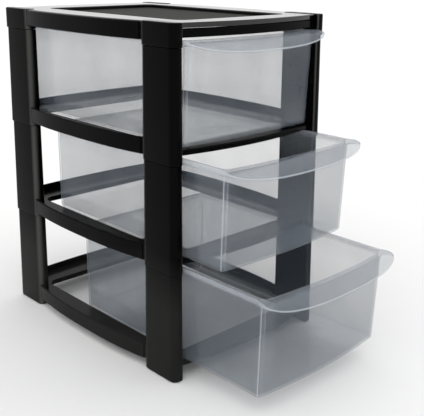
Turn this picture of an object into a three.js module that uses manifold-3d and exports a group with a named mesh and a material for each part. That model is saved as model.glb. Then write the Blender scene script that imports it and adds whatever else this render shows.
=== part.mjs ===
// Desktop storage tower with three clear drawers.
// Millimetres, +Z up. The front faces -Y, and the drawers slide out along -Y.
// Four ring frames are held apart by twelve corner legs. Each ring has a connector at every
// corner, which plugs down into one leg and up into the next. Caps close the top corners, a
// cover drops into the top ring, and each drawer rides on the ledges of the ring below it.
import * as THREE from 'three';
import { mergeVertices } from 'three/addons/utils/BufferGeometryUtils.js';
import Module from 'manifold-3d';

const wasm = await Module();
wasm.setup();

// Plan of the tower, measured at the corner legs
const WIDTH = 178;
const DEPTH = 246.6;
const LEG_X = 10.2;
const LEG_Y = 41;
const LEG_RADIUS = 6;
const LEG_INNER_RADIUS = 1.6;
const GAP = 0.3;

// Heights
const BASE_HEIGHT = 7.7;
const TIER = 90.85;
const RING_HEIGHT = 14.2;
const SKIRT_DROP = 3.5;
const CAP_RISE = 0.8;

// Section of a ring: outer wall, ledge and inner skirt
const SIDE_INSET = 0.4;
const SIDE_BOW = 5.8;
const SIDE_POWER = 2.6;
const SIDE_STOPS = [-1, -0.9, -0.75, -0.55, -0.3, 0, 0.3, 0.55, 0.75, 0.9, 1];
const FRONT_INSET = 6.9;
const FRONT_BOW = 11.4;
const REAR_INSET = 2.3;
const REAR_BOW = 5;
const WALL = 2.4;
const LEDGE_TOP = 8.2;
const LEDGE_THICK = 2.2;
const SKIRT_BOTTOM = 3.2;
const SKIRT_THICK = 2;
const OPENING_X = 71;
const OPENING_FRONT = -104;
const OPENING_REAR = 98;
const OPENING_RADIUS = 10;
const FRONT_BAR_BACK = -99;
const TOP_BAR_HEIGHT = 10.3;
const RING_EDGE = 0.9;

// Legs are tapered tubes, and the rings' connectors fill their ends
const SHELL = 2.3;
const LEG_TAPER = 0.8;
const PLUG_DOWN = 12.5;
const PLUG_UP = 22;
const CAP_PLUG_UP = 12;
const CAP_ROOF = 2.2;
const WEB_HALF = 12;
const WEB_START = 75;
const PLUG_EDGE = 0.8;

// Cover
const COVER_TOP = 14.6;
const COVER_EDGE = 0.6;
const FRONT_RIM_INSET = 0.2;
const PANEL_X = 62;
const PANEL_FRONT = -101;
const PANEL_REAR = 90;
const PANEL_TOP = 10.9;
const PANEL_THICK = 1.8;
const PANEL_RADIUS = 9;
const PAN_WALL = 2;
const PAN_SKIRT = 1.6;

// Drawers
const DRAWER_BOTTOM = LEDGE_TOP + GAP;
const DRAWER_TOP = 92.4;
const DRAWER_HALF_TOP = 75.6;
const DRAWER_HALF_BOTTOM = 74.6;
const DRAWER_FRONT_TOP = -122;
const DRAWER_FRONT_BOTTOM = -118.5;
const DRAWER_REAR = 107.2;
const DRAWER_BOW = 4.8;
const DRAWER_RADIUS = 5;
const DRAWER_WALL = 1.6;
const DRAWER_FLOOR = 1.8;
const FOOT_RADIUS = 4;
const RIM_HEIGHT = 4.5;
const RIM_OUT = 1.4;
const LIP_THICK = 1.6;
// Outer edge of the handle lip: a superellipse, with a short round return at each end
const LIP_HALF = 79.3;
const LIP_REACH = 19.5;
const LIP_SHOULDER = 5;
const LIP_ROOT = 76.6;
const LIP_ROOT_REACH = 1;
const LIP_POWER = 2.6;
const LIP_DROOP = 9.6;
const LIP_DROOP_POWER = 2.2;
const MIDDLE_PULL = 44.5;
const BOTTOM_PULL = 85.6;

// Reach of the cutting blocks, past everything across and up and down
const FAR = 200;
const HIGH = 50;

const FRAME_COLOR = 0x0b0b0c;
const PANEL_COLOR = 0x3a3a38;
const CLEAR_COLOR = 0xc9d0d8;
const FRAME_GLOSS = 0.3;
const PANEL_GLOSS = 0.7;
const CLEAR_GLOSS = 0.15;

// Rounded rectangle between two depths, with sides that may bow outward. The sides bow between
// the corner legs only.
function outline(spec) {
  const { half, front, rear, radius, z } = spec;
  const bowSide = spec.bowSide ?? 0;
  const bowFront = spec.bowFront ?? 0;
  const bowRear = spec.bowRear ?? 0;
  const sideStops = spec.sideStops ?? [];
  const sideReach = DEPTH / 2 - LEG_Y;
  const arc = spec.arc ?? 3;
  const middle = (front + rear) / 2;
  const points = [];
  const corner = (cx, cy, from) => {
    for (let i = 0; i <= arc; i += 1) {
      const angle = from + (i / arc) * (Math.PI / 2);
      points.push([cx + radius * Math.cos(angle), cy + radius * Math.sin(angle)]);
    }
  };
  const between = (ax, ay, bx, by, steps) => {
    for (let i = 1; i < steps; i += 1) {
      points.push([ax + ((bx - ax) * i) / steps, ay + ((by - ay) * i) / steps]);
    }
  };
  const x = half - radius;
  corner(-x, front + radius, Math.PI);
  between(-x, front, x, front, spec.frontSteps ?? 1);
  corner(x, front + radius, -Math.PI / 2);
  sideStops.forEach((y) => points.push([half, y]));
  corner(x, rear - radius, 0);
  between(x, rear, -x, rear, spec.rearSteps ?? 1);
  corner(-x, rear - radius, Math.PI / 2);
  sideStops.toReversed().forEach((y) => points.push([-half, y]));
  return points.map(([px, py]) => {
    const across = Math.max(0, 1 - (px / half) ** 2);
    const along = Math.max(0, 1 - Math.abs(py / sideReach) ** SIDE_POWER);
    const bowed = py < middle ? -bowFront * across : bowRear * across;
    return new THREE.Vector3(px + Math.sign(px) * bowSide * along, py + bowed, z);
  });
}

// Closed surface through a stack of outlines that have the same number of points
function loft(loops) {
  const count = loops[0].length;
  const positions = [];
  const index = [];
  loops.forEach((loop) => loop.forEach((point) => positions.push(point.x, point.y, point.z)));
  for (let level = 0; level + 1 < loops.length; level += 1) {
    for (let i = 0; i < count; i += 1) {
      const a = level * count + i;
      const b = level * count + ((i + 1) % count);
      index.push(a, b, b + count, a, b + count, a + count);
    }
  }
  const flat = loops[0].map((point) => new THREE.Vector2(point.x, point.y));
  const last = (loops.length - 1) * count;
  THREE.ShapeUtils.triangulateShape(flat, []).forEach(([a, b, c]) => {
    index.push(a, c, b, last + a, last + b, last + c);
  });
  const geometry = new THREE.BufferGeometry();
  geometry.setAttribute('position', new THREE.Float32BufferAttribute(positions, 3));
  geometry.setIndex(index);
  return geometry;
}

function solid(geometry) {
  const bare = geometry.clone();
  bare.deleteAttribute('normal');
  bare.deleteAttribute('uv');
  const merged = mergeVertices(bare, 1e-4);
  const vertProperties = new Float32Array(merged.getAttribute('position').array);
  const triVerts = new Uint32Array(merged.getIndex().array);
  return new wasm.Manifold(new wasm.Mesh({ numProp: 3, vertProperties, triVerts }));
}

function block(x0, x1, y0, y1, z0, z1) {
  const geometry = new THREE.BoxGeometry(x1 - x0, y1 - y0, z1 - z0);
  geometry.translate((x0 + x1) / 2, (y0 + y1) / 2, (z0 + z1) / 2);
  return solid(geometry);
}

function geometryOf(manifold) {
  const mesh = manifold.getMesh();
  const geometry = new THREE.BufferGeometry();
  const flat = [];
  for (let i = 0; i < mesh.vertProperties.length; i += mesh.numProp) {
    flat.push(mesh.vertProperties[i], mesh.vertProperties[i + 1], mesh.vertProperties[i + 2]);
  }
  geometry.setAttribute('position', new THREE.Float32BufferAttribute(flat, 3));
  geometry.setIndex(Array.from(mesh.triVerts));
  geometry.computeVertexNormals();
  return geometry;
}

// Section of a leg at the front right corner; sx and sy mirror it to the others. Both outer
// corners are well rounded, as far as the width of the section allows.
function legSection(z, inset, taper, sx, sy) {
  const x0 = WIDTH / 2 - LEG_X + inset;
  const x1 = WIDTH / 2 - inset - taper;
  const y0 = -DEPTH / 2 + inset + taper;
  const y1 = -DEPTH / 2 + LEG_Y - inset;
  const inner = Math.max(0.5, LEG_INNER_RADIUS - inset);
  const outer = Math.min(x1 - x0 - inner, Math.max(0.8, LEG_RADIUS - inset));
  const points = [];
  const corner = (cx, cy, r, from, steps) => {
    for (let i = 0; i <= steps; i += 1) {
      const angle = from + (i / steps) * (Math.PI / 2);
      points.push([cx + r * Math.cos(angle), cy + r * Math.sin(angle)]);
    }
  };
  corner(x0 + inner, y0 + inner, inner, Math.PI, 2);
  corner(x1 - outer, y0 + outer, outer, -Math.PI / 2, 4);
  corner(x1 - outer, y1 - outer, outer, 0, 4);
  corner(x0 + inner, y1 - inner, inner, Math.PI / 2, 2);
  const placed = points.map(([x, y]) => new THREE.Vector3(sx * x, sy * y, z));
  return sx * sy < 0 ? placed.reverse() : placed;
}

// Stack of leg sections: each level is [z, inset, taper]
function legLoft(levels, sx, sy) {
  return solid(loft(levels.map(([z, inset, taper]) => legSection(z, inset, taper, sx, sy))));
}

const CORNERS = [
  ['front_left', -1, 1],
  ['front_right', 1, 1],
  ['rear_right', 1, -1],
  ['rear_left', -1, -1],
];

// Everything at a corner that belongs to its leg and cap, and not to the bars between the legs
function cornerBlock(sx, sy) {
  const x = WIDTH / 2 - LEG_X - GAP;
  const y = DEPTH / 2 - LEG_Y - GAP;
  const xs = [sx * x, sx * FAR].sort((a, b) => a - b);
  const ys = [-sy * y, -sy * FAR].sort((a, b) => a - b);
  return block(xs[0], xs[1], ys[0], ys[1], -HIGH, HIGH);
}

function ringOutline(z, inset) {
  return outline({
    half: WIDTH / 2 - SIDE_INSET - inset,
    front: -DEPTH / 2 + FRONT_INSET + inset,
    rear: DEPTH / 2 - REAR_INSET - inset,
    radius: 3,
    arc: 1,
    bowSide: SIDE_BOW,
    bowFront: FRONT_BOW,
    bowRear: REAR_BOW,
    sideStops: SIDE_STOPS.map((share) => share * (DEPTH / 2 - LEG_Y)),
    frontSteps: 10,
    rearSteps: 6,
    z,
  });
}

function openingOutline(z, grow) {
  return outline({
    half: OPENING_X + grow,
    front: OPENING_FRONT - grow,
    rear: OPENING_REAR + grow,
    radius: OPENING_RADIUS + grow,
    arc: 4,
    z,
  });
}

// One ring frame, with z = 0 at the underside of its side walls
function ring(kind) {
  const top = kind === 'top';
  const base = kind === 'base';
  const frontTop = top ? TOP_BAR_HEIGHT : LEDGE_TOP;
  const barHalf = WIDTH / 2 - LEG_X / 2;
  const cut = FRONT_BAR_BACK;
  const hoop = solid(loft([
    ringOutline(0, RING_EDGE), ringOutline(RING_EDGE, 0),
    ringOutline(RING_HEIGHT - RING_EDGE, 0), ringOutline(RING_HEIGHT, RING_EDGE),
  ])).subtract(block(-FAR, FAR, -FAR, cut, -HIGH, HIGH));
  const bar = solid(loft([
    ringOutline(SKIRT_BOTTOM, RING_EDGE), ringOutline(SKIRT_BOTTOM + RING_EDGE, 0),
    ringOutline(frontTop - RING_EDGE, 0), ringOutline(frontTop, RING_EDGE),
  ])).subtract(block(-FAR, FAR, cut, FAR, -HIGH, HIGH))
    .subtract(block(-FAR, -barHalf, -FAR, FAR, -HIGH, HIGH))
    .subtract(block(barHalf, FAR, -FAR, FAR, -HIGH, HIGH));
  let body = hoop.add(bar);
  const channel = solid(loft([ringOutline(-1, WALL), ringOutline(LEDGE_TOP - LEDGE_THICK, WALL)]));
  const skirt = solid(loft([openingOutline(SKIRT_BOTTOM, SKIRT_THICK), openingOutline(HIGH, SKIRT_THICK)]));
  const opening = solid(loft([openingOutline(-HIGH, 0), openingOutline(HIGH, 0)]));
  const recess = solid(loft([ringOutline(LEDGE_TOP, WALL), ringOutline(HIGH, WALL)]))
    .subtract(block(-FAR, FAR, -FAR, cut, -HIGH, HIGH));
  body = body.subtract(channel.subtract(skirt)).subtract(recess).subtract(opening);
  CORNERS.forEach(([, sx, sy]) => {
    const low = base ? -BASE_HEIGHT : -PLUG_DOWN;
    const high = top ? CAP_PLUG_UP : PLUG_UP;
    const inset = SHELL + GAP;
    body = body.subtract(cornerBlock(sx, sy));
    body = body.add(web(sx, sy, WEB_HALF, SKIRT_BOTTOM, LEDGE_TOP));
    body = body.add(legLoft([
      [low, inset + PLUG_EDGE, LEG_TAPER], [low + PLUG_EDGE, inset, LEG_TAPER],
      [high - PLUG_EDGE, inset, LEG_TAPER], [high, inset + PLUG_EDGE, LEG_TAPER],
    ], sx, sy));
  });
  return geometryOf(body);
}

// Bridge from a ring's ledge into the leg, and the slot that it takes in the leg's wall
function web(sx, sy, half, z0, z1) {
  const xs = [sx * WEB_START, sx * (WIDTH / 2 - LEG_X + SHELL + 1)].sort((a, b) => a - b);
  const y = -sy * (DEPTH / 2 - LEG_Y / 2);
  return block(xs[0], xs[1], y - half, y + half, z0, z1);
}

// Leg from its lower end at z = 0 up to its upper end; seat is the height of its ring
function leg(sx, sy, length, seat, foot) {
  const low = foot
    ? [[0, 1.8, 0], [0.6, 0.8, 0], [2.2, 0, 0]]
    : [[0, 0.3, 0], [0.4, 0, 0]];
  const body = legLoft([...low, [length - 0.5, 0, LEG_TAPER], [length, 0.4, LEG_TAPER]], sx, sy);
  const hollow = legLoft([[-1, SHELL, LEG_TAPER], [length + 1, SHELL, LEG_TAPER]], sx, sy);
  const slot = web(sx, sy, WEB_HALF + GAP, -1, seat + LEDGE_TOP + GAP);
  return geometryOf(body.subtract(hollow).subtract(slot));
}

// Cap over a top corner, with z = 0 at the underside of the top ring's side walls
function cap(sx, sy) {
  const rise = RING_HEIGHT + CAP_RISE;
  const body = legLoft([
    [-SKIRT_DROP, 0.3, 0], [0.4 - SKIRT_DROP, 0, 0],
    [rise - 1.2, 0, 0], [rise - 0.4, 0.4, 0], [rise, 1.2, 0],
  ], sx, sy);
  const hollow = legLoft([[-HIGH, SHELL, LEG_TAPER], [rise - CAP_ROOF, SHELL, LEG_TAPER]], sx, sy);
  const slot = web(sx, sy, WEB_HALF + GAP, -HIGH, LEDGE_TOP + GAP);
  return geometryOf(body.subtract(hollow).subtract(slot));
}

function panelOutline(z, grow) {
  return outline({
    half: PANEL_X + grow,
    front: PANEL_FRONT - grow,
    rear: PANEL_REAR + grow,
    radius: PANEL_RADIUS + grow,
    z,
  });
}

// Cover that drops into the top ring: a flat rim round a sunk panel
function cover() {
  const inset = WALL + GAP;
  const edge = COVER_EDGE;
  const seam = FRONT_BAR_BACK;
  let body = solid(loft([
    ringOutline(LEDGE_TOP + GAP, inset), ringOutline(COVER_TOP - edge, inset),
    ringOutline(COVER_TOP, inset + edge),
  ])).subtract(block(-FAR, FAR, -FAR, seam + GAP, -HIGH, HIGH));
  const front = solid(loft([
    ringOutline(TOP_BAR_HEIGHT + GAP, FRONT_RIM_INSET),
    ringOutline(COVER_TOP - edge, FRONT_RIM_INSET),
    ringOutline(COVER_TOP, FRONT_RIM_INSET + edge),
  ])).subtract(block(-FAR, FAR, seam + 1, FAR, -HIGH, HIGH));
  const under = PANEL_TOP - PANEL_THICK;
  const pan = solid(loft([
    panelOutline(under - PAN_SKIRT, PAN_WALL), panelOutline(COVER_TOP - PAN_WALL, PAN_WALL),
  ]));
  const below = solid(loft([panelOutline(-HIGH, 0), panelOutline(under, 0)]));
  const sunk = solid(loft([
    panelOutline(PANEL_TOP, 0), panelOutline(COVER_TOP - edge, 0), panelOutline(COVER_TOP, edge),
    panelOutline(HIGH, edge),
  ]));
  body = body.add(front).add(pan).subtract(below).subtract(sunk);
  CORNERS.forEach(([, sx, sy]) => {
    body = body.subtract(cornerBlock(sx, sy));
  });
  return geometryOf(body);
}

function drawerOutline(z, grow, out) {
  const share = (z - DRAWER_BOTTOM) / (DRAWER_TOP - DRAWER_BOTTOM);
  const half = THREE.MathUtils.lerp(DRAWER_HALF_BOTTOM, DRAWER_HALF_TOP, share);
  const front = THREE.MathUtils.lerp(DRAWER_FRONT_BOTTOM, DRAWER_FRONT_TOP, share);
  return outline({
    half: half + grow + out,
    front: front - grow,
    rear: DRAWER_REAR + grow,
    radius: Math.max(1.5, DRAWER_RADIUS + grow),
    bowFront: DRAWER_BOW,
    frontSteps: 10,
    z,
  });
}

// Right half of the lip's outer edge, from its middle to its root: [x, reach, droop]
function lipEdge() {
  const points = [];
  const add = (x, reach) => {
    const share = Math.max(0, (reach - LIP_ROOT_REACH) / (LIP_REACH - LIP_ROOT_REACH));
    points.push([x, reach, LIP_DROOP * share ** LIP_DROOP_POWER]);
  };
  const sweep = 9;
  for (let i = 0; i <= sweep; i += 1) {
    const angle = (i / sweep) * (Math.PI / 2);
    const across = Math.sin(angle) ** (2 / LIP_POWER);
    const out = Math.max(0, Math.cos(angle)) ** (2 / LIP_POWER);
    add(LIP_HALF * across, LIP_SHOULDER + (LIP_REACH - LIP_SHOULDER) * out);
  }
  const turn = 3;
  for (let i = 1; i <= turn; i += 1) {
    const angle = (i / turn) * (Math.PI / 2);
    const inward = 1 - Math.cos(angle);
    const down = Math.sin(angle);
    add(LIP_HALF - (LIP_HALF - LIP_ROOT) * inward, LIP_SHOULDER - (LIP_SHOULDER - LIP_ROOT_REACH) * down);
  }
  return points;
}

// Handle lip: a curved visor along the front edge, thin, drooping outward
function lip() {
  const right = lipEdge();
  const left = right.slice(1).map(([x, reach, droop]) => [-x, reach, droop]);
  const edge = [...left.reverse(), ...right];
  const profile = [[0, 0], [0.3, 0.08], [0.6, 0.3], [0.85, 0.68], [1, 1]];
  const grid = edge.map(([x, reach, droop]) => {
    const inner = Math.sign(x) * Math.min(Math.abs(x) * 0.985, DRAWER_HALF_TOP - 0.9);
    const wall = DRAWER_FRONT_TOP - DRAWER_BOW * Math.max(0, 1 - (inner / DRAWER_HALF_TOP) ** 2) + 0.9;
    const outer = DRAWER_FRONT_TOP - reach;
    return profile.map(([out, down]) => new THREE.Vector3(
      inner + (x - inner) * out, wall + (outer - wall) * out, DRAWER_TOP - droop * down));
  });
  const across = profile.length;
  const positions = [];
  grid.forEach((row) => row.forEach((p) => positions.push(p.x, p.y, p.z)));
  grid.forEach((row) => row.forEach((p) => positions.push(p.x, p.y, p.z - LIP_THICK)));
  const shift = grid.length * across;
  const index = [];
  const quad = (a, b, c, d) => index.push(a, b, c, a, c, d);
  for (let i = 0; i + 1 < grid.length; i += 1) {
    for (let j = 0; j + 1 < across; j += 1) {
      const a = i * across + j;
      const b = a + across;
      quad(a, a + 1, b + 1, b);
      quad(shift + a, shift + b, shift + b + 1, shift + a + 1);
    }
    const inner = i * across;
    const outer = inner + across - 1;
    quad(inner, inner + across, shift + inner + across, shift + inner);
    quad(outer, shift + outer, shift + outer + across, outer + across);
  }
  const end = (grid.length - 1) * across;
  for (let j = 0; j + 1 < across; j += 1) {
    quad(j, shift + j, shift + j + 1, j + 1);
    quad(end + j, end + j + 1, shift + end + j + 1, shift + end + j);
  }
  const geometry = new THREE.BufferGeometry();
  geometry.setAttribute('position', new THREE.Float32BufferAttribute(positions, 3));
  geometry.setIndex(index);
  return solid(geometry);
}

// Drawer in its closed place over a ring whose underside is at z = 0
function drawer() {
  const z0 = DRAWER_BOTTOM;
  const z1 = DRAWER_TOP;
  const r = FOOT_RADIUS;
  const band = z1 - RIM_HEIGHT;
  let body = solid(loft([
    drawerOutline(z0, -r, 0), drawerOutline(z0 + 0.29 * r, -0.29 * r, 0), drawerOutline(z0 + r, 0, 0),
    drawerOutline(band - 0.6, 0, 0), drawerOutline(band, 0, RIM_OUT),
    drawerOutline(z1 - 0.4, 0, RIM_OUT), drawerOutline(z1, -0.4, RIM_OUT),
  ]));
  body = body.add(lip());
  const t = DRAWER_WALL;
  const floor = z0 + DRAWER_FLOOR;
  const hollow = solid(loft([
    drawerOutline(floor, -t - r + 1, 0), drawerOutline(floor + 1, -t - 1, 0), drawerOutline(floor + 3, -t, 0),
    drawerOutline(z1 - 0.5, -t, 0), drawerOutline(z1 + 0.5, -t + 0.5, 0),
  ]));
  return geometryOf(body.subtract(hollow));
}

const tower = new THREE.Group();

function place(name, geometry, color, roughness, y, z) {
  const material = new THREE.MeshStandardMaterial({ color, roughness, metalness: 0 });
  const mesh = new THREE.Mesh(geometry, material);
  mesh.name = name;
  mesh.position.set(0, y, z);
  tower.add(mesh);
}

const shelf = ring('shelf');
place('base_frame', ring('base'), FRAME_COLOR, FRAME_GLOSS, 0, BASE_HEIGHT);
place('lower_shelf_frame', shelf, FRAME_COLOR, FRAME_GLOSS, 0, BASE_HEIGHT + TIER);
place('upper_shelf_frame', shelf, FRAME_COLOR, FRAME_GLOSS, 0, BASE_HEIGHT + 2 * TIER);
place('top_frame', ring('top'), FRAME_COLOR, FRAME_GLOSS, 0, BASE_HEIGHT + 3 * TIER);
place('top_cover', cover(), PANEL_COLOR, PANEL_GLOSS, 0, BASE_HEIGHT + 3 * TIER);

['bottom', 'middle', 'top'].forEach((tier, level) => {
  const low = level === 0 ? 0 : BASE_HEIGHT + level * TIER - SKIRT_DROP;
  const high = BASE_HEIGHT + (level + 1) * TIER - SKIRT_DROP - GAP;
  const seat = BASE_HEIGHT + level * TIER - low;
  CORNERS.forEach(([corner, sx, sy]) => {
    const post = leg(sx, sy, high - low, seat, level === 0);
    place(`${tier}_leg_${corner}`, post, FRAME_COLOR, FRAME_GLOSS, 0, low);
  });
});
CORNERS.forEach(([corner, sx, sy]) => {
  place(`cap_${corner}`, cap(sx, sy), FRAME_COLOR, FRAME_GLOSS, 0, BASE_HEIGHT + 3 * TIER);
});

const box = drawer();
place('bottom_drawer', box, CLEAR_COLOR, CLEAR_GLOSS, -BOTTOM_PULL, BASE_HEIGHT);
place('middle_drawer', box, CLEAR_COLOR, CLEAR_GLOSS, -MIDDLE_PULL, BASE_HEIGHT + TIER);
place('top_drawer', box, CLEAR_COLOR, CLEAR_GLOSS, 0, BASE_HEIGHT + 2 * TIER);

// The origin is under the middle of the whole part as it stands, drawers out
const bounds = new THREE.Box3().setFromObject(tower);
const centre = bounds.getCenter(new THREE.Vector3());
tower.position.set(-centre.x, -centre.y, -bounds.min.z);
tower.updateMatrixWorld(true);

export default tower;
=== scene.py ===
"""Looks of the desktop storage tower: a glossy black frame with three clear plastic drawers."""
import math

import bmesh
import bpy
from mathutils import Matrix, Vector


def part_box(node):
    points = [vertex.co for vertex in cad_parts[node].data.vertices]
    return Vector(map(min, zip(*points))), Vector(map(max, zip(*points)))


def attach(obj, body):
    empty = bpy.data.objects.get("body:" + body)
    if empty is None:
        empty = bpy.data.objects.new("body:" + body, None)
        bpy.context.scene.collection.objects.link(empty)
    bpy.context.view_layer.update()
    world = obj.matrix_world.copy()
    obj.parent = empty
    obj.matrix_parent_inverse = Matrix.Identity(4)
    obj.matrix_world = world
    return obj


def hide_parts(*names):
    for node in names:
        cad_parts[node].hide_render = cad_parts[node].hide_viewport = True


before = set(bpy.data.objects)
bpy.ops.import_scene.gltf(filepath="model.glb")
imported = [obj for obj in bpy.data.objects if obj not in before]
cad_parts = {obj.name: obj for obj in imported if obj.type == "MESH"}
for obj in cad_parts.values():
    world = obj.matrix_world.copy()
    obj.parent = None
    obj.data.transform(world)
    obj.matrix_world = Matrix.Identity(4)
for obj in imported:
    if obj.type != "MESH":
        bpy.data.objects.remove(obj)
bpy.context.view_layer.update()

MM = 0.001
# Signs that mirror the front right corner to each of the four
CORNERS = {
    "front_left": (-1, 1),
    "front_right": (1, 1),
    "rear_right": (1, -1),
    "rear_left": (-1, -1),
}
RINGS = ["base_frame", "lower_shelf_frame", "upper_shelf_frame", "top_frame"]
TIERS = ["bottom", "middle", "top"]


# ---------------------------------------------------------------- sizes read from the frame

LEG_LOW, LEG_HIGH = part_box("bottom_leg_front_right")
REAR_LEG_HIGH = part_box("bottom_leg_rear_right")[1]
HALF_WIDTH = LEG_HIGH.x
LEG_X = LEG_HIGH.x - LEG_LOW.x
LEG_Y = LEG_HIGH.y - LEG_LOW.y
MIDDLE_Y = (LEG_LOW.y + REAR_LEG_HIGH.y) / 2
HALF_DEPTH = (REAR_LEG_HIGH.y - LEG_LOW.y) / 2
LEG_EDGE = HALF_DEPTH - LEG_Y

SEAM_DROP = 3.5 * MM
SEAM_GAP = 0.3 * MM
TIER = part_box("top_leg_front_right")[0].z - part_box("middle_leg_front_right")[0].z
BASE_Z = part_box("middle_leg_front_right")[0].z + SEAM_DROP - TIER


# ---------------------------------------------------------------- sections, in metres

LEG_RADIUS = 6 * MM
LEG_INNER_RADIUS = 1.6 * MM
LEG_TAPER = 0.8 * MM
LEG_END_ROUND = 0.5 * MM
FOOT_END_ROUND = 1.8 * MM
CAP_END_ROUND = 1.2 * MM
CAP_RISE = 0.8 * MM
END_STEPS = 5

SIDE_INSET = 0.4 * MM
SIDE_BOW = 5.8 * MM
SIDE_POWER = 2.6
FRONT_INSET = 6.9 * MM
FRONT_BOW = 11.4 * MM
REAR_INSET = 2.3 * MM
REAR_BOW = 5 * MM
FRONT_BAR_BACK = MIDDLE_Y - 99 * MM

RING_HEIGHT = 14.2 * MM
RING_EDGE = 0.9 * MM
RING_RADIUS = 3 * MM
RING_SOFTNESS = 0.4 * MM
BAR_HOLD = 1.5 * MM
BAR_TOP_INSET = 1.6 * MM
BAR_LEDGE_INSET = 3.2 * MM
WALL = 2.4 * MM
LEDGE_TOP = 8.2 * MM
LEDGE_UNDER = 6 * MM
SKIRT_BOTTOM = 3.2 * MM
SKIRT_THICK = 2 * MM
TOP_BAR = 10.3 * MM
OPENING_X = 71 * MM
OPENING_FRONT = MIDDLE_Y - 104 * MM
OPENING_REAR = MIDDLE_Y + 98 * MM
OPENING_RADIUS = 10 * MM

COVER_TOP = 14.6 * MM
COVER_EDGE = 0.6 * MM
COVER_FRONT_INSET = 0.2 * MM
COVER_SOFTNESS = 0.35 * MM
PANEL_X = 62 * MM
PANEL_FRONT = MIDDLE_Y - 101 * MM
PANEL_REAR = MIDDLE_Y + 90 * MM
PANEL_RADIUS = 9 * MM
PANEL_TOP = 10.9 * MM

DRAWER_WALL = 1.6 * MM
DRAWER_FLOOR = 1.8 * MM
DRAWER_HALF_TOP = 75.6 * MM
DRAWER_HALF_BOTTOM = 74.6 * MM
DRAWER_LEAN = 3.5 * MM
DRAWER_BOW = 4.8 * MM
DRAWER_RADIUS = 5 * MM
DRAWER_LEAST_RADIUS = 1.2 * MM
FOOT_RADIUS = 4 * MM
FOOT_STEPS = 6
RIM_HEIGHT = 4.5 * MM
RIM_OUT = 1.4 * MM
LIP_THICK = 1.6 * MM
LIP_HALF = 79.3 * MM
LIP_FRONT_HALF = 77 * MM
LIP_REACH = 19.5 * MM
LIP_SHOULDER = 5 * MM
LIP_DROOP = 9.6 * MM
LIP_POWER = 2.6
LIP_DROOP_POWER = 2.2


# ---------------------------------------------------------------- outlines and lofts

def smooth_step(value):
    share = min(1.0, max(0.0, value))
    return share * share * (3 - 2 * share)


def even_stops(steps):
    return [i / steps for i in range(1, steps)]


def outline(half, front, rear, radius, bows=(0, 0, 0), arc=6, stops=None, across=28):
    """Rounded rectangle seen from above, anticlockwise from the front left corner. Its front and
    rear may bow outward, and its sides too, between the legs. stops are the shares of a side's
    length that get points."""
    stops = stops or even_stops(28)
    bow_side, bow_front, bow_rear = bows
    middle = (front + rear) / 2
    points = []

    def corner(cx, cy, start):
        for i in range(arc + 1):
            angle = start + i / arc * math.pi / 2
            points.append((cx + radius * math.cos(angle), cy + radius * math.sin(angle)))

    def between(a, b, shares):
        for share in shares:
            points.append(tuple(a[k] + (b[k] - a[k]) * share for k in range(2)))

    x = half - radius
    corner(-x, front + radius, math.pi)
    between((-x, front), (x, front), even_stops(across))
    corner(x, front + radius, -math.pi / 2)
    between((half, front + radius), (half, rear - radius), stops)
    corner(x, rear - radius, 0)
    between((x, rear), (-x, rear), even_stops(across))
    corner(-x, rear - radius, math.pi / 2)
    between((-half, rear - radius), (-half, front + radius), [1 - s for s in reversed(stops)])

    bowed = []
    for px, py in points:
        side_share = max(0.0, 1 - abs((py - MIDDLE_Y) / LEG_EDGE) ** SIDE_POWER)
        end_share = max(0.0, 1 - (px / half) ** 2)
        dy = -bow_front * end_share if py < middle else bow_rear * end_share
        bowed.append((px + math.copysign(bow_side * side_share, px), py + dy))
    return bowed


def new_object(name, bm, material, smooth_angle=35):
    bmesh.ops.recalc_face_normals(bm, faces=bm.faces)
    for face in bm.faces:
        face.smooth = True
    for edge in bm.edges:
        if len(edge.link_faces) == 2 and edge.calc_face_angle(0) > math.radians(smooth_angle):
            edge.smooth = False
    mesh = bpy.data.meshes.new(name)
    bm.to_mesh(mesh)
    bm.free()
    piece = bpy.data.objects.new(name, mesh)
    bpy.context.scene.collection.objects.link(piece)
    piece.data.materials.append(material)
    return piece


def loft(loops, tube=False):
    """Mesh through a stack of loops that have the same number of points. A tube joins its last
    loop to its first one, and otherwise both ends are closed."""
    bm = bmesh.new()
    rows = [[bm.verts.new(point) for point in loop] for loop in loops]
    count = len(loops[0])
    steps = len(rows) if tube else len(rows) - 1
    for level in range(steps):
        low, high = rows[level], rows[(level + 1) % len(rows)]
        for i in range(count):
            j = (i + 1) % count
            bm.faces.new((low[i], low[j], high[j], high[i]))
    if not tube:
        bm.faces.new(list(reversed(rows[0])))
        bm.faces.new(rows[-1])
    return bm


def soften(piece, width, segments=2, angle=38):
    """Small rounded edges, as moulded plastic has."""
    bevel = piece.modifiers.new("soft_edges", "BEVEL")
    bevel.width = width
    bevel.segments = segments
    bevel.limit_method = "ANGLE"
    bevel.angle_limit = math.radians(angle)
    bevel.harden_normals = True
    bevel.miter_outer = "MITER_ARC"


# ---------------------------------------------------------------- materials

def node(tree, kind, **values):
    made = tree.nodes.new(kind)
    for key, value in values.items():
        if key in made.inputs:
            made.inputs[key].default_value = value
        else:
            setattr(made, key, value)
    return made


def new_material(name):
    material = bpy.data.materials.new(name)
    material.use_nodes = True
    tree = material.node_tree
    shader = tree.nodes["Principled BSDF"]
    place = node(tree, "ShaderNodeTexCoord")
    return material, tree, shader, place.outputs["Object"]


def noise(tree, place, scale, detail=4.0, stretch=None):
    source = place
    if stretch is not None:
        mapping = node(tree, "ShaderNodeMapping")
        mapping.inputs["Scale"].default_value = stretch
        tree.links.new(place, mapping.inputs["Vector"])
        source = mapping.outputs["Vector"]
    texture = node(tree, "ShaderNodeTexNoise", Scale=scale, Detail=detail)
    tree.links.new(source, texture.inputs["Vector"])
    return texture.outputs["Fac"]


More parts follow.
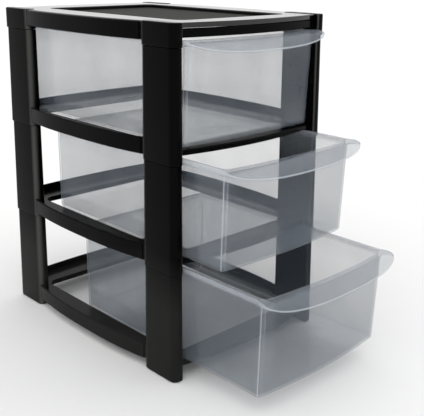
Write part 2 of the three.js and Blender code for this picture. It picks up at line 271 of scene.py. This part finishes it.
def remap(tree, value, low, high, start=0.0, end=1.0):
    """Value from low to high turned into start to end."""
    made = node(tree, "ShaderNodeMapRange")
    made.inputs["From Min"].default_value = low
    made.inputs["From Max"].default_value = high
    made.inputs["To Min"].default_value = start
    made.inputs["To Max"].default_value = end
    tree.links.new(value, made.inputs["Value"])
    return made.outputs["Result"]


def math_node(tree, operation, a, b, clamp=False):
    made = node(tree, "ShaderNodeMath", operation=operation, use_clamp=clamp)
    for socket, value in zip(made.inputs, (a, b)):
        if isinstance(value, (int, float)):
            socket.default_value = value
        else:
            tree.links.new(value, socket)
    return made.outputs[0]


def blend_colours(tree, share, first, second):
    made = node(tree, "ShaderNodeMix", data_type="RGBA")
    tree.links.new(share, made.inputs["Factor"])
    for socket, colour in (("A", first), ("B", second)):
        slot = [s for s in made.inputs if s.name == socket and s.type == "RGBA"][0]
        if isinstance(colour, tuple):
            slot.default_value = (*colour, 1)
        else:
            tree.links.new(colour, slot)
    return [s for s in made.outputs if s.type == "RGBA"][0]


def bump(tree, shader, height, strength, distance):
    made = node(tree, "ShaderNodeBump", Strength=strength, Distance=distance)
    tree.links.new(height, made.inputs["Height"])
    tree.links.new(made.outputs["Normal"], shader.inputs["Normal"])


def black_plastic(name="black_plastic", shine=(0.12, 0.22), gloss=0.035, orange_peel=0.03):
    """Moulded black plastic: glossy, with faint flow streaks, specks of dust and an uneven
    shine. Near the floor it is painted paler, as a painted reflection of the pale floor. The
    mesh's "edge" attribute is 1 where a paler highlight is painted along an edge."""
    material, tree, shader, place = new_material(name)
    height = node(tree, "ShaderNodeSeparateXYZ")
    tree.links.new(place, height.inputs[0])
    edge = node(tree, "ShaderNodeAttribute", attribute_name="edge").outputs["Fac"]
    streaks = noise(tree, place, 14, 5, (1.0, 1.0, 0.12))
    dust = remap(tree, noise(tree, place, 300, 8), 0.6, 0.85, 0, 0.25)
    # Painted highlight: paler colour where the mesh's edge attribute is set.
    painted_edge_highlight = math_node(tree, "MULTIPLY", edge, remap(tree, streaks, 0.3, 0.7, 0.35, 1.0))
    dusty = blend_colours(tree, dust, (0.0012, 0.0012, 0.0013), (0.009, 0.009, 0.0085))
    # Painted reflection of the pale floor: the black is made paler towards the bottom of the
    # tower.
    low = math_node(tree, "ADD", height.outputs["Z"], math_node(tree, "MULTIPLY", streaks, 0.04))
    painted_floor_reflection = remap(tree, low, BASE_Z + 0.8 * TIER, BASE_Z + 1.3 * TIER, 1, 0)
    lower = blend_colours(tree, painted_floor_reflection, dusty, (0.015, 0.015, 0.0145))
    colour = blend_colours(tree, painted_edge_highlight, lower, (0.1, 0.1, 0.096))
    tree.links.new(colour, shader.inputs["Base Color"])
    uneven = remap(tree, streaks, 0.3, 0.7, *shine)
    tree.links.new(math_node(tree, "ADD", uneven, dust), shader.inputs["Roughness"])
    shader.inputs["Specular IOR Level"].default_value = gloss
    bump(tree, shader, noise(tree, place, 420, 3), orange_peel, 0.04 * MM)
    return material


def grained_panel():
    """Finely grained dark grey plastic of the sunk panel."""
    material, tree, shader, place = new_material("grained_panel")
    cells = node(tree, "ShaderNodeTexVoronoi", Scale=700.0, feature="SMOOTH_F1")
    tree.links.new(place, cells.inputs["Vector"])
    worn = remap(tree, noise(tree, place, 18, 6), 0.35, 0.7)
    pits = remap(tree, cells.outputs["Distance"], 0.1, 0.6, 0.0, 0.35)
    fine = blend_colours(tree, pits, (0.052, 0.052, 0.048), (0.028, 0.028, 0.026))
    colour = blend_colours(tree, worn, fine, (0.062, 0.062, 0.057))
    tree.links.new(colour, shader.inputs["Base Color"])
    tree.links.new(remap(tree, worn, 0, 1, 0.62, 0.78), shader.inputs["Roughness"])
    shader.inputs["Specular IOR Level"].default_value = 0.012
    bump(tree, shader, cells.outputs["Distance"], 0.5, 0.12 * MM)
    return material


def clear_plastic():
    """Thin clear plastic with a faint blue-grey haze. The mesh's "thick" attribute says where a
    highlight is painted, paler and less clear: 0 on a plain wall, 1 on an outer edge."""
    material, tree, shader, place = new_material("clear_plastic")
    thick = node(tree, "ShaderNodeAttribute", attribute_name="thick").outputs["Fac"]
    cloud = remap(tree, noise(tree, place, 30, 5, (1.0, 1.0, 0.35)), 0.3, 0.7, -0.02, 0.03)
    slant = node(tree, "ShaderNodeLayerWeight", Blend=0.25).outputs["Facing"]
    grazing = remap(tree, math_node(tree, "POWER", slant, 3.0), 0, 1, 0.0, 0.4)
    veil = math_node(tree, "ADD", math_node(tree, "ADD", cloud, 0.18), grazing)
    # Painted highlight: where "thick" is set, the plastic is drawn paler and less clear.
    alpha = math_node(tree, "ADD", veil, math_node(tree, "MULTIPLY", thick, 0.55), clamp=True)
    tree.links.new(alpha, shader.inputs["Alpha"])
    colour = blend_colours(tree, thick, (0.1, 0.13, 0.168), (0.7, 0.75, 0.8))
    tree.links.new(colour, shader.inputs["Base Color"])
    scuffs = noise(tree, place, 180, 7, (1.0, 0.3, 1.0))
    tree.links.new(remap(tree, scuffs, 0.35, 0.75, 0.09, 0.24), shader.inputs["Roughness"])
    shader.inputs["IOR"].default_value = 1.9
    bump(tree, shader, noise(tree, place, 24, 2), 0.25, 0.25 * MM)
    return material


def floor_paint():
    material, tree, shader, place = new_material("floor_paint")
    patch = noise(tree, place, 3, 3)
    colour = blend_colours(tree, patch, (0.86, 0.86, 0.86), (0.88, 0.88, 0.875))
    tree.links.new(colour, shader.inputs["Base Color"])
    shader.inputs["Roughness"].default_value = 0.85
    shader.inputs["Specular IOR Level"].default_value = 0.0
    return material


# ---------------------------------------------------------------- frame pieces

LEG_STEPS = (4, 10, 10, 4)


def leg_section(z, inset, taper, sx, sy):
    """Level section of a leg. Both of its outer corners are well rounded."""
    x0 = HALF_WIDTH - LEG_X + inset
    x1 = HALF_WIDTH - inset - taper
    y0 = -HALF_DEPTH + inset + taper
    y1 = -HALF_DEPTH + LEG_Y - inset
    outer = LEG_RADIUS - inset
    inner = max(0.6 * MM, LEG_INNER_RADIUS - inset)
    points = []

    def corner(cx, cy, radius, start, steps):
        for i in range(steps + 1):
            angle = start + i / steps * math.pi / 2
            points.append((cx + radius * math.cos(angle), cy + radius * math.sin(angle)))

    corner(x0 + inner, y0 + inner, inner, math.pi, LEG_STEPS[0])
    corner(x1 - outer, y0 + outer, outer, -math.pi / 2, LEG_STEPS[1])
    corner(x1 - outer, y1 - outer, outer, 0, LEG_STEPS[2])
    corner(x0 + inner, y1 - inner, inner, math.pi / 2, LEG_STEPS[3])
    placed = [(sx * x, MIDDLE_Y + sy * y, z) for x, y in points]
    return placed[::-1] if sx * sy < 0 else placed


def rounded_ends(low, high, low_round, high_round, low_taper, high_taper):
    """Levels (height, inset, taper) of an upright post with rounded ends."""
    lower, upper = [], []
    for i in range(END_STEPS + 1):
        angle = i / END_STEPS * math.pi / 2
        rise, inset = 1 - math.sin(angle), 1 - math.cos(angle)
        lower.append((low + low_round * rise, low_round * inset, low_taper))
        upper.append((high - high_round * rise, high_round * inset, high_taper))
    return lower[::-1] + upper


def paint(piece, attribute, rows):
    """Stores one value for each point, in the order that the loft made them."""
    made = piece.data.attributes.new(attribute, "FLOAT", "POINT")
    made.data.foreach_set("value", [value for row in rows for value in row])


def corner_bell(steps, power=1):
    """Values for the points of one corner: 0 at both ends of its arc and 1 in the middle."""
    return [math.sin(i / steps * math.pi) ** power for i in range(steps + 1)]


def post(name, levels, corner, material):
    """Leg or cap. A paler highlight is painted along its front inner corner and its outer corner
    beside the bar.
    """
    sx, sy = CORNERS[corner]
    sections = [leg_section(z, inset, taper, sx, sy) for z, inset, taper in levels]
    piece = new_object(name, loft(sections), material)
    # Painted highlight along the two rounded corners, stored in the edge attribute.
    painted_edge_highlight = [0.6 * value for value in corner_bell(LEG_STEPS[0])]
    painted_edge_highlight += [0.0] * (LEG_STEPS[1] + 1)
    painted_edge_highlight += corner_bell(LEG_STEPS[2], 2)
    painted_edge_highlight += [0.0] * (LEG_STEPS[3] + 1)
    if sx * sy < 0:
        painted_edge_highlight.reverse()
    paint(piece, "edge", [painted_edge_highlight] * len(sections))
    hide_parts(name.removesuffix("_shell"))
    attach(piece, "tower")


def legs(material):
    for level, tier in enumerate(TIERS):
        low = 0.0 if level == 0 else BASE_Z + level * TIER - SEAM_DROP
        high = BASE_Z + (level + 1) * TIER - SEAM_DROP - SEAM_GAP
        low_round = FOOT_END_ROUND if level == 0 else LEG_END_ROUND
        levels = rounded_ends(low, high, low_round, LEG_END_ROUND, 0, LEG_TAPER)
        for corner in CORNERS:
            post(f"{tier}_leg_{corner}_shell", levels, corner, material)


def caps(material):
    low = BASE_Z + 3 * TIER - SEAM_DROP
    high = BASE_Z + 3 * TIER + RING_HEIGHT + CAP_RISE
    levels = rounded_ends(low, high, LEG_END_ROUND, CAP_END_ROUND, 0, 0)
    for corner in CORNERS:
        post(f"cap_{corner}_shell", levels, corner, material)


RING_FRONT = MIDDLE_Y - HALF_DEPTH + FRONT_INSET
RING_REAR = MIDDLE_Y + HALF_DEPTH - REAR_INSET
BAR_END_STEP = 0.2 * MM


def side_stops():
    """Shares of a ring's side, with a close pair at each leg's edge, where its bar ends."""
    low, high = RING_FRONT + RING_RADIUS, RING_REAR - RING_RADIUS
    first, last = MIDDLE_Y - LEG_EDGE, MIDDLE_Y + LEG_EDGE
    step = BAR_END_STEP
    places = [low + (first - low) * share for share in (0.25, 0.5, 0.75)]
    places += [first - step]
    places += [first + step + (last - first - 2 * step) * i / 22 for i in range(23)]
    places += [last + step]
    places += [last + (high - last) * share for share in (0.3, 0.6)]
    return [(y - low) / (high - low) for y in places]


def ring_plan(inset):
    """A ring's outline. Inside the legs it keeps clear of their outer faces."""
    plan = outline(
        HALF_WIDTH - SIDE_INSET - inset,
        RING_FRONT + inset,
        RING_REAR - inset,
        RING_RADIUS,
        (SIDE_BOW, FRONT_BOW, REAR_BOW),
        stops=side_stops(),
    )
    inside = HALF_WIDTH - BAR_HOLD - inset
    held = []
    for x, y in plan:
        if abs(y - MIDDLE_Y) > LEG_EDGE:
            x = max(-inside, min(inside, x))
        held.append((x, y))
    return held


def opening_loop(z, grow):
    """Loop round the opening in the middle of a ring."""
    plan = outline(
        OPENING_X + grow, OPENING_FRONT - grow, OPENING_REAR + grow, OPENING_RADIUS + grow,
        stops=side_stops(),
    )
    return [(x, y, z) for x, y in plan]


def ring_loop(z0, side, front):
    """Loop round the outside of a ring. side and front are (inset, height): the front bar is
    lower than the rest, and the change of height is inside the front legs."""
    side_plan, front_plan = ring_plan(side[0]), ring_plan(front[0])
    loop = []
    for (sx, sy), (fx, fy) in zip(side_plan, front_plan):
        if sy < FRONT_BAR_BACK:
            loop.append((fx, fy, z0 + front[1]))
        else:
            loop.append((sx, sy, z0 + side[1]))
    return loop


def ring(name, level, material):
    z0 = BASE_Z + level * TIER
    bar = TOP_BAR if level == 3 else LEDGE_TOP
    edge = RING_EDGE
    low = SKIRT_BOTTOM
    loops = [
        ring_loop(z0, (edge, 0), (edge, low)),
        ring_loop(z0, (0, edge), (0, low + edge)),
        ring_loop(z0, (0, RING_HEIGHT - edge), (0, bar - edge)),
        ring_loop(z0, (edge, RING_HEIGHT), (edge, bar)),
        ring_loop(z0, (WALL, RING_HEIGHT), (BAR_TOP_INSET, bar)),
        ring_loop(z0, (WALL, LEDGE_TOP), (BAR_LEDGE_INSET, LEDGE_TOP)),
        opening_loop(z0 + LEDGE_TOP, 0),
        opening_loop(z0 + low, 0),
        opening_loop(z0 + low, SKIRT_THICK),
        opening_loop(z0 + LEDGE_UNDER, SKIRT_THICK),
        ring_loop(z0, (WALL, LEDGE_UNDER), (WALL, LEDGE_UNDER)),
        ring_loop(z0, (WALL, 0), (WALL, low)),
    ]
    piece = new_object(f"{name}_shell", loft(loops, tube=True), material)
    soften(piece, RING_SOFTNESS)
    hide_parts(name)
    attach(piece, "tower")


def panel_loop(z, grow):
    plan = outline(
        PANEL_X + grow, PANEL_FRONT - grow, PANEL_REAR + grow, PANEL_RADIUS + grow,
        stops=side_stops(),
    )
    return [(x, y, z) for x, y in plan]


def cover(rim_material, panel_material):
    """Flat rim round a sunk panel, which has a material of its own."""
    z0 = BASE_Z + 3 * TIER
    seat = LEDGE_TOP + SEAM_GAP
    rim = WALL + SEAM_GAP
    front_rim = COVER_FRONT_INSET
    edge = COVER_EDGE
    loops = [
        ring_loop(z0, (rim, seat), (front_rim, TOP_BAR + SEAM_GAP)),
        ring_loop(z0, (rim, COVER_TOP - edge), (front_rim, COVER_TOP - edge)),
        ring_loop(z0, (rim + edge, COVER_TOP), (front_rim + edge, COVER_TOP)),
        panel_loop(z0 + COVER_TOP, edge),
        panel_loop(z0 + COVER_TOP - edge, 0),
        panel_loop(z0 + PANEL_TOP, 0),
    ]
    bm = loft(loops)
    for face in bm.faces:
        is_end = len(face.verts) > 4
        if is_end and abs(face.calc_center_median().z - (z0 + PANEL_TOP)) < 0.1 * MM:
            face.material_index = 1
    piece = new_object("top_cover_shell", bm, rim_material)
    piece.data.materials.append(panel_material)
    soften(piece, COVER_SOFTNESS)
    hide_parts("top_cover")
    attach(piece, "tower")


# ---------------------------------------------------------------- drawers

DRAWER_ARC = 8
DRAWER_ALONG = 26
DRAWER_ACROSS = 40
LIP_STEPS = 9
CORNER_GLINT = (0.0, 0.0, 0.1, 0.7, 0.1, 0.2, 0.4, 0.0, 0.0)
WALL_LEVELS = (0.4, 0.75)


def drawer_plan(share, grow, front, rear):
    """The drawer's outline at a share of its height, from 0 at its foot to 1 at its top."""
    half = DRAWER_HALF_BOTTOM + (DRAWER_HALF_TOP - DRAWER_HALF_BOTTOM) * share
    return outline(
        half + grow,
        front + DRAWER_LEAN * (1 - share) - grow,
        rear + grow,
        max(DRAWER_LEAST_RADIUS, DRAWER_RADIUS + grow),
        (0, DRAWER_BOW, 0),
        DRAWER_ARC, even_stops(DRAWER_ALONG), DRAWER_ACROSS,
    )


def lip_reach(x):
    """How far the lip reaches out at x along its straight part."""
    share = min(1.0, abs(x) / LIP_HALF)
    return LIP_SHOULDER + (LIP_REACH - LIP_SHOULDER) * (1 - share ** LIP_POWER) ** (1 / LIP_POWER)


def flange(front, rear):
    """For each point of the drawer's top outline: the point on the flange's outer edge, its
    droop, and its share of lip, from 0 along the sides to 1 along the front."""
    base = drawer_plan(1, 0, front, rear)
    side = drawer_plan(1, RIM_OUT, front, rear)
    last_corner = DRAWER_ARC + DRAWER_ACROSS
    straight = DRAWER_HALF_TOP - DRAWER_RADIUS
    end_reach = lip_reach(LIP_FRONT_HALF)
    edge = []
    for i, (x, y) in enumerate(base):
        if DRAWER_ARC <= i <= last_corner:
            lip_x = x * LIP_FRONT_HALF / straight
            reach, share = lip_reach(lip_x), 1.0
        elif i < DRAWER_ARC or i <= last_corner + DRAWER_ARC:
            turn = 1 - i / DRAWER_ARC if i < DRAWER_ARC else (i - last_corner) / DRAWER_ARC
            lip_x = LIP_FRONT_HALF + (LIP_HALF - LIP_FRONT_HALF) * math.sin(math.pi * turn)
            lip_x = math.copysign(lip_x, x)
            reach = end_reach - (end_reach + DRAWER_RADIUS) * turn ** 1.6
            share = 1 - smooth_step(turn * 1.15)
        else:
            edge.append((side[i], 0.0, 0.0))
            continue
        droop = LIP_DROOP * max(0.0, reach / LIP_REACH) ** LIP_DROOP_POWER
        edge.append(((lip_x, front - reach), droop, share))
    return base, edge


def corner_glint(i):
    """Light gathers in two lines on each upright corner, point i of the drawer's outline."""
    starts = [
        0,
        DRAWER_ARC + DRAWER_ACROSS,
        2 * DRAWER_ARC + DRAWER_ACROSS + DRAWER_ALONG,
        3 * DRAWER_ARC + 2 * DRAWER_ACROSS + DRAWER_ALONG,
    ]
    for start in starts:
        step = i - start
        if 0 <= step <= DRAWER_ARC:
            return CORNER_GLINT[step]
    return 0.0


def drawer(tier, material):
    """One skin: up the outside from the foot, round the flange and lip, and down the inside."""
    low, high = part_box(f"{tier}_drawer")
    front = low.y + LIP_REACH
    rear = high.y
    z0, z1 = low.z, high.z
    height = z1 - z0
    loops, light = [], []

    def level(z, grow, weight=0.0, glint=1.0):
        share = min(1.0, max(0.0, (z - z0) / height))
        plan = drawer_plan(share, grow, front, rear)
        loops.append([(x, y, z) for x, y in plan])
        light.append([max(weight, glint * corner_glint(i)) for i in range(len(plan))])

    for i in range(FOOT_STEPS + 1):
        angle = i / FOOT_STEPS * math.pi / 2
        inset = FOOT_RADIUS * (1 - math.sin(angle))
        weight = 0.25 if i < FOOT_STEPS - 1 else 0.1
        level(z0 + FOOT_RADIUS * (1 - math.cos(angle)), -inset, weight)
    for share in WALL_LEVELS:
        level(z0 + height * share, 0)
    level(z1 - RIM_HEIGHT - 1.2 * MM, 0)

    base, edge = flange(front, rear)

    def flange_loop(out, down_of, weight_of):
        loop, weights = [], []
        for i, ((bx, by), ((ex, ey), droop, share)) in enumerate(zip(base, edge)):
            thick = RIM_HEIGHT + (LIP_THICK - RIM_HEIGHT) * share
            z = z1 - droop * out ** LIP_DROOP_POWER - down_of(thick)
            loop.append((bx + (ex - bx) * out, by + (ey - by) * out, z))
            weights.append(max(weight_of(share), 0.5 * corner_glint(i)))
        loops.append(loop)
        light.append(weights)

    for i in range(1, LIP_STEPS + 1):
        flange_loop(i / LIP_STEPS, lambda thick: thick, lambda share: 0.3 - 0.18 * share)
    flange_loop(1.0, lambda thick: 0.7 * thick, lambda share: 0.5 + 0.1 * share)
    flange_loop(1.0, lambda thick: 0.3 * MM, lambda share: 0.6 + 0.15 * share)
    for i in range(LIP_STEPS, 0, -1):
        flange_loop(i / LIP_STEPS - 0.02, lambda thick: 0.0, lambda share: 0.35 - 0.23 * share)

    level(z1, -0.4 * MM, 0.45, 0.5)
    level(z1 - 0.5 * MM, -DRAWER_WALL, 0.3, 0.5)
    for share in reversed(WALL_LEVELS):
        level(z0 + height * share, -DRAWER_WALL, 0, 0)
    floor = z0 + DRAWER_FLOOR
    inner = FOOT_RADIUS - 1 * MM
    for i in range(FOOT_STEPS, -1, -1):
        angle = i / FOOT_STEPS * math.pi / 2
        inset = inner * (1 - math.sin(angle))
        level(floor + inner * (1 - math.cos(angle)), -DRAWER_WALL - inset, 0.08, 0)

    piece = new_object(f"{tier}_drawer_shell", loft(loops), material, smooth_angle=50)
    # The painted highlights on edges, corners and lip are stored in the "thick" attribute.
    paint(piece, "thick", light)
    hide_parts(f"{tier}_drawer")
    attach(piece, f"{tier}_box")


# ---------------------------------------------------------------- stage

CAMERA_PLACE = (-0.4588, -0.5018, 0.3391)
CAMERA_YAW = 43.74
CAMERA_PITCH = 15.11
CAMERA_ROLL = 0.54
CAMERA_LENS = 65.1
CAMERA_SHIFT = -0.094


def camera():
    """The place is in metres. Yaw turns from +Y towards +X, and pitch looks down."""
    data = bpy.data.cameras.new("camera")
    data.sensor_width = 36
    data.lens = CAMERA_LENS
    data.shift_y = CAMERA_SHIFT
    data.clip_start = 0.01
    made = bpy.data.objects.new("camera", data)
    bpy.context.scene.collection.objects.link(made)
    turn = Matrix.Rotation(math.radians(-CAMERA_YAW), 4, "Z")
    tilt = Matrix.Rotation(math.radians(90 - CAMERA_PITCH), 4, "X")
    roll = Matrix.Rotation(math.radians(CAMERA_ROLL), 4, "Z")
    made.matrix_world = Matrix.Translation(CAMERA_PLACE) @ turn @ tilt @ roll
    bpy.context.scene.camera = made


def sun(name, azimuth, elevation, spread, strength):
    """Even light over the whole floor. Azimuth 0 comes from the front and 90 from the right."""
    data = bpy.data.lights.new(name, "SUN")
    data.angle = math.radians(spread)
    data.energy = strength
    made = bpy.data.objects.new(name, data)
    bpy.context.scene.collection.objects.link(made)
    turn, rise = math.radians(azimuth), math.radians(elevation)
    flat = math.cos(rise)
    back = Vector((math.sin(turn) * flat, -math.cos(turn) * flat, math.sin(rise)))
    made.matrix_world = back.to_track_quat("Z", "Y").to_matrix().to_4x4()


def stage():
    bm = bmesh.new()
    bmesh.ops.create_grid(bm, x_segments=8, y_segments=8, size=20)
    floor = new_object("floor", bm, floor_paint())
    world = bpy.data.worlds.new("studio")
    world.use_nodes = True
    backdrop = world.node_tree.nodes["Background"]
    backdrop.inputs["Color"].default_value = (0.95, 0.95, 0.95, 1)
    backdrop.inputs["Strength"].default_value = 1.06
    bpy.context.scene.world = world
    sun("key", -60, 55, 50, 0.45)
    sun("fill", 60, 62, 70, 0.25)


def look():
    scene = bpy.context.scene
    scene.view_settings.view_transform = "Standard"
    scene.cycles.transparent_max_bounces = 32


def build():
    black = black_plastic()
    clear = clear_plastic()
    for level, name in enumerate(RINGS):
        ring(name, level, black)
    legs(black)
    caps(black)
    cover(black_plastic("glossy_rim", (0.04, 0.1), 0.5, 0.02), grained_panel())
    for tier in TIERS:
        drawer(tier, clear)


camera()
stage()
look()
build()
